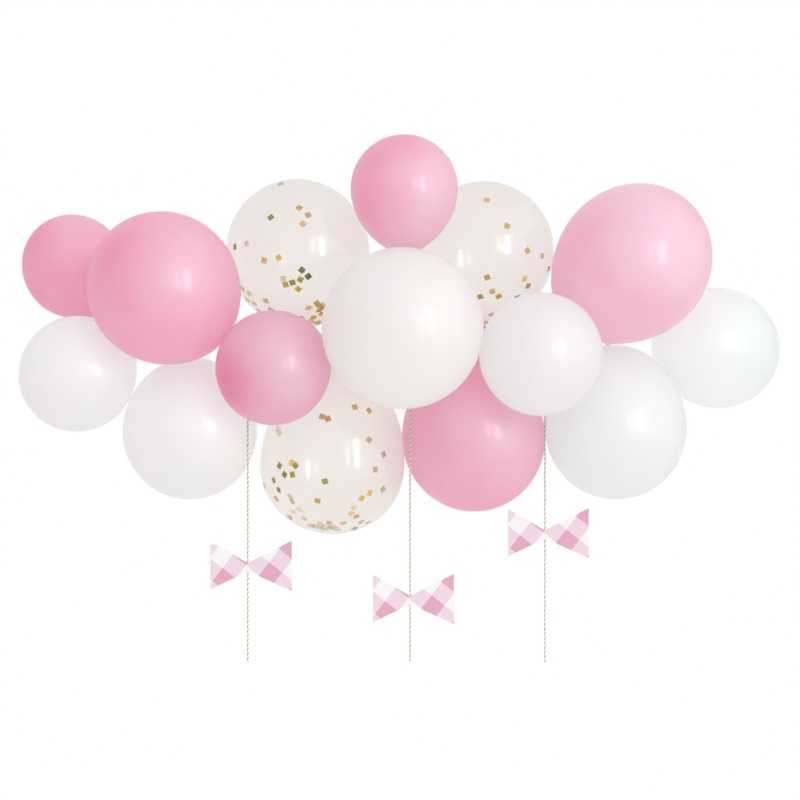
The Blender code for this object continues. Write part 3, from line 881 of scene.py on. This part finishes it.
# %% Confetti in each clear balloon
FIRST_SEED = 40
LAYERS = 5
FIRST_LAYER = 0.5
LAYER_STEP = 0.15
for seed, (name, places) in enumerate(CONFETTI.items()):
    balloon = "balloon_confetti_" + name
    skin = skins[balloon]
    radius = BALLOONS[balloon][2] * MM
    surface = BVHTree.FromPolygons([Vector(c) for c in skin["corners"]], skin["faces"])
    eye = camera.location - Vector(skin["middle"])
    chance = random.Random(FIRST_SEED + seed)
    corners, faces, foil_lights = [], [], []
    for number, (x, z, side, foil_light) in enumerate(places):
        hit, outward = on_skin(surface, eye, Vector((x * MM, 0, z * MM)), side)
        under_skin = (FIRST_LAYER + LAYER_STEP * (number % LAYERS)) * MM
        made, walls = foil_square(hit, outward, radius, chance.uniform(0, 1.57), len(corners), under_skin)
        corners += made
        faces += walls
        # Each square's number is its painted reflection and shade.
        foil_lights += [foil_light] * len(made)
    piece = new_piece("confetti_" + name, corners, faces, [foil], at=skin["middle"])
    attribute = piece.data.attributes.new("foil_tone", "FLOAT", "POINT")
    attribute.data.foreach_set("value", np.array(foil_lights, np.float32))
    piece.data.shade_flat()
    print(piece.name, "holds", len(places), "squares")

# %% [markdown]
# ## The decorating strip
#
# The strip is a clear soft plastic band, 20 mm wide, punched with a row of holes that the tails and twines
# are pushed through. It stands on edge behind the balloons. It is built cell by cell, each cell a square of
# band with a round hole, so that it can follow the bends and still have clean holes.

# %% Strip finish
# Soft plastic film is clear and glossy, with a faint haze in clouds of 25 mm.
clear_strip = mottled_finish("clear_soft_pvc", {"Roughness": 0.22, "IOR": 1.53, "Alpha": 0.7}, 25 * MM, 3.0,
                             [(0.3, "#E9EDEE"), (0.7, "#F6F8F8")], (0.2, 0.2 * MM))

# %% The strip's bends
STRIP_BEND_RADIUS = 24 * MM
BEND_STEPS = 24


def rounded_plan(corners):
    """A bent line with its corners rounded."""
    line = [Vector(corners[0])]
    for before, corner, after in zip(corners, corners[1:], corners[2:]):
        before, corner, after = Vector(before), Vector(corner), Vector(after)
        back, on = (before - corner).normalized(), (after - corner).normalized()
        half = back.angle(on) / 2
        centre = corner + (back + on).normalized() * STRIP_BEND_RADIUS / math.sin(half)
        start = corner + back * STRIP_BEND_RADIUS / math.tan(half) - centre
        end = corner + on * STRIP_BEND_RADIUS / math.tan(half) - centre
        begin = math.atan2(start.y, start.x)
        sweep = math.remainder(math.atan2(end.y, end.x) - begin, 2 * math.pi)
        for step in range(BEND_STEPS + 1):
            angle = begin + sweep * step / BEND_STEPS
            line.append(centre + STRIP_BEND_RADIUS * Vector((math.cos(angle), math.sin(angle))))
    line.append(Vector(corners[-1]))
    return np.array(line)


plan = rounded_plan([(x * MM, y * MM) for x, y, z in STRIP_LINE])
along = np.concatenate([[0], np.cumsum(np.linalg.norm(np.diff(plan, axis=0), axis=1))])
print("strip:", round(along[-1] / MM), "mm long")


def on_strip(distance, height):
    """A place on the strip's back face, from the distance along it and the height above its middle line."""
    x = float(np.interp(distance, along, plan[:, 0]))
    y = float(np.interp(distance, along, plan[:, 1]))
    return Vector((x, y, strip_middle(x / MM).z * MM + height))


# %% The punched band
STRIP_WIDTH = 20 * MM
HOLE_RADII = (4.5 * MM, 2.0 * MM)
HOLE_SIDES = 24
WELD = 0.02 * MM
cells = round(along[-1] / STRIP_WIDTH)
cell = along[-1] / cells
band = bmesh.new()
for c in range(cells):
    middle = (c + 0.5) * cell
    hole = HOLE_RADII[c % 2]
    inner, outer = [], []
    for k in range(HOLE_SIDES):
        angle = 2 * math.pi * k / HOLE_SIDES
        ca, sa = math.cos(angle), math.sin(angle)
        edge = 1 / max(abs(ca), abs(sa))
        inner.append(band.verts.new(on_strip(middle + hole * ca, hole * sa)))
        outer.append(band.verts.new(on_strip(middle + edge * ca * cell / 2, edge * sa * STRIP_WIDTH / 2)))
    for k in range(HOLE_SIDES):
        j = (k + 1) % HOLE_SIDES
        band.faces.new((outer[k], outer[j], inner[j], inner[k]))
bmesh.ops.remove_doubles(band, verts=band.verts[:], dist=WELD)
band.verts.index_update()
strip = new_piece("decorating_strip", [v.co for v in band.verts],
                  [tuple(v.index for v in face.verts) for face in band.faces], [clear_strip],
                  "balloon_strip")
band.free()
strip.data.shade_flat()
thick = strip.modifiers.new("Thickness", "SOLIDIFY")
thick.thickness = STRIP_THICKNESS
thick.offset = 1.0
thick.use_even_offset = True
print("strip:", cells, "holes")

# %% [markdown]
# ## The ties
#
# Each twine is tied to the strip behind the balloons: it goes over the strip's upper edge, comes back through
# the nearest large hole, and ends in two turns round itself below the strip. Nobody sees it from the front,
# but it is what the twine and its bow hang from, so it is modelled with the same two plies.

# %% Loops through the strip's holes
# Every second hole is a large one. The loops are written in millimetres.
TIE_TURN_RADIUS = 3.4
TURN_STEPS = 12
TURN_DEGREES = 60
TURN_DROP = 0.6
for name, (hanging, _) in twine_lines.items():
    x, _, top = TWINE_ROUTES[name][0]
    holes = [on_strip((c + 0.5) * cell, 0) / MM for c in range(0, cells, 2)]
    nearest = min(holes, key=lambda place: abs(place.x - x))
    hole, middle, edge = nearest.x, nearest.z, nearest.z + STRIP_WIDTH / 2 / MM
    side = math.copysign(1, hole - x)
    loop = [(x, -3, top), (x, -3.2, edge - 1), (x, -2.4, edge + 1.4), (x, -0.6, edge + 2.1),
            (x, 1.2, edge + 1.4), ((x + hole) / 2, 2.0, middle + 6), (hole, 1.8, middle + 1.5),
            (hole, 0.8, middle + 0.3), (hole, -0.8, middle - 0.2), (hole, -2.8, middle - 1.8),
            (x + 4.4 * side, -3.5, middle - 8)]
    for t in range(TURN_STEPS + 1):
        angle = math.radians(side * (90 - TURN_DEGREES * t))
        height = middle - 12.6 - TURN_DROP * t
        out = float(np.interp(-height, -hanging[:, 2] / MM, hanging[:, 1] / MM))
        loop.append((x + TIE_TURN_RADIUS * math.sin(angle), out - TIE_TURN_RADIUS * math.cos(angle), height))
    line, stations = smooth_line(np.array(loop) * MM)
    tie = lay_twine(name + "_tie", line, stations)
    print(tie.name, "goes through the hole at", round(hole), "mm and is", round(stations[-1] / MM), "mm long")

# %% [markdown]
# ## Light
#
# The arch hangs in front of a bright white wall, in a room with windows to the right of the camera. Much of
# the light comes from that wall, goes into the balloons from behind and makes them glow, and daylight fills
# the window side with a wide soft glow. Four panels are there for the gloss alone, and show in the latex as
# soft patches: two tall panes, the bright end of the room round them, and a wall to the right. What lies past
# the arch is plain white, and a pale floor lies under it.

# %% Room light
# How bright the room is to the left and right, in front and behind, below and above.
ROOM = {"X": (0.55, 0.63), "Y": (0.21, 1.74), "Z": (0.23, 0.82)}
BEHIND_IN_GLOSS = 0.86
DAYLIGHT_LEVEL = 1.27
DAYLIGHT_WAY = (0.42, -0.88, 0.22)
world = bpy.data.worlds.new("bright_room")
bpy.context.scene.world = world
world.use_nodes = True
tree = world.node_tree
tree.nodes.clear()
way = add_node(tree, "TexCoord")
axes = add_node(tree, "SeparateXYZ", links={"Vector": way.outputs["Generated"]})
level = add_node(tree, "Value")
level.outputs[0].default_value = 0.0
for axis, (minus, plus) in ROOM.items():
    side = add_node(tree, "Math", {"operation": "GREATER_THAN", 1: 0.0}, {0: axes.outputs[axis]})
    amount = add_node(tree, "MapRange", {"To Min": minus, "To Max": plus}, {"Value": side.outputs[0]})
    square = add_node(tree, "Math", {"operation": "MULTIPLY"}, {0: axes.outputs[axis], 1: axes.outputs[axis]})
    level = add_node(tree, "Math", {"operation": "MULTIPLY_ADD"},
                     {0: square.outputs[0], 1: amount.outputs["Result"], 2: level.outputs[0]})
    if axis == "Y":
        behind = add_node(tree, "Math", {"operation": "MULTIPLY"}, {0: square.outputs[0], 1: side.outputs[0]})
# Gloss at the edge of a balloon shows the wall behind, dimmed, because the skin is finely wrinkled there.
ray = add_node(tree, "LightPath")
dimmed = add_node(tree, "Math", {"operation": "MULTIPLY"},
                  {0: behind.outputs[0], 1: ray.outputs["Is Glossy Ray"]})
level = add_node(tree, "Math", {"operation": "MULTIPLY_ADD", 1: BEHIND_IN_GLOSS - ROOM["Y"][1]},
                 {0: dimmed.outputs[0], 2: level.outputs[0]})
# Daylight from the windows fills that side of the room with a wide soft glow.
facing = add_node(tree, "VectorMath", {"operation": "DOT_PRODUCT", 1: DAYLIGHT_WAY},
                  {0: way.outputs["Generated"]})
glow = add_node(tree, "MapRange", {"interpolation_type": "SMOOTHSTEP", "From Min": 0.1, "From Max": 1.0},
                {"Value": facing.outputs["Value"]})
level = add_node(tree, "Math", {"operation": "MULTIPLY_ADD", 1: DAYLIGHT_LEVEL},
                 {0: glow.outputs[0], 2: level.outputs[0]})
room = add_node(tree, "Background", {"Color": linear("#FFFEFE")}, {"Strength": level.outputs[0]})
print("the wall behind is", round(ROOM["Y"][1] / ROOM["Y"][0], 1), "times as bright as the room in front")

# %% What is seen past the arch
# Straight past it, or through its clear balloons, the eye meets plain white.
backdrop = add_node(tree, "Background", {"Color": linear("#FFFFFF"), "Strength": 1.0})
through_clear = add_node(tree, "Math", {"operation": "SUBTRACT", "use_clamp": True},
                         {0: ray.outputs["Is Transmission Ray"], 1: ray.outputs["Is Diffuse Ray"]})
plain = add_node(tree, "Math", {"operation": "MAXIMUM"},
                 {0: ray.outputs["Is Camera Ray"], 1: through_clear.outputs[0]})
seen = add_node(tree, "MixShader", links={0: plain.outputs[0], 1: room.outputs[0], 2: backdrop.outputs[0]})
add_node(tree, "OutputWorld", links={"Surface": seen.outputs[0]})
bpy.context.scene.view_settings.view_transform = "Standard"
print("nodes in the room's light:", len(tree.nodes))


# %% Windows
def window(name, azimuth, elevation, distance, width, height, radiance):
    """A soft panel that faces the arch and shows in gloss alone. Azimuth is to the right of the camera."""
    a, e = math.radians(azimuth), math.radians(elevation)
    panel = bpy.data.lights.new(name, "AREA")
    panel.shape = "RECTANGLE"
    panel.size, panel.size_y = width, height
    panel.energy = radiance * math.pi * width * height
    lamp = bpy.data.objects.new(name, panel)
    away = Vector((math.sin(a) * math.cos(e), -math.cos(a) * math.cos(e), math.sin(e)))
    lamp.location = away * distance
    lamp.rotation_euler = away.to_track_quat("Z", "Y").to_euler()
    lamp.visible_camera = False
    lamp.visible_diffuse = False
    bpy.context.scene.collection.objects.link(lamp)
    print(name, "at", tuple(round(c, 2) for c in lamp.location))


# Azimuth and elevation in degrees, then distance, width and height in metres, and radiance.
window("window_pane_right", 39, 9, 6.0, 0.95, 2.9, 14.0)
window("window_pane_left", 24, 9, 6.0, 0.8, 2.3, 5.5)
window("bright_wall", 81, 18, 5.0, 7.0, 7.4, 0.85)
window("bright_end_of_room", 33, 9, 6.0, 4.0, 4.0, 1.0)

# %% Floor
# A matt painted floor, with clouds in the paint that are a third of a metre across.
FLOOR_HEIGHT = -1.15
FLOOR_RADIUS = 2.4
FLOOR_SIDES = 128
angles = [2 * math.pi * k / FLOOR_SIDES for k in range(FLOOR_SIDES)]
ring = [(FLOOR_RADIUS * math.cos(a), FLOOR_RADIUS * math.sin(a), FLOOR_HEIGHT) for a in angles]
floor_mesh = bpy.data.meshes.new("floor")
floor_mesh.from_pydata(ring, [], [tuple(range(FLOOR_SIDES))])
floor_mesh.materials.append(mottled_finish("pale_painted_floor", {"Roughness": 0.6}, 1000 * MM / 3, 4.0,
                                           [(0.3, "#F4F3F1"), (0.7, "#F8F7F5")]))
floor = bpy.data.objects.new("floor", floor_mesh)
bpy.context.scene.collection.objects.link(floor)
print("floor:", -FLOOR_HEIGHT, "m below the strip")
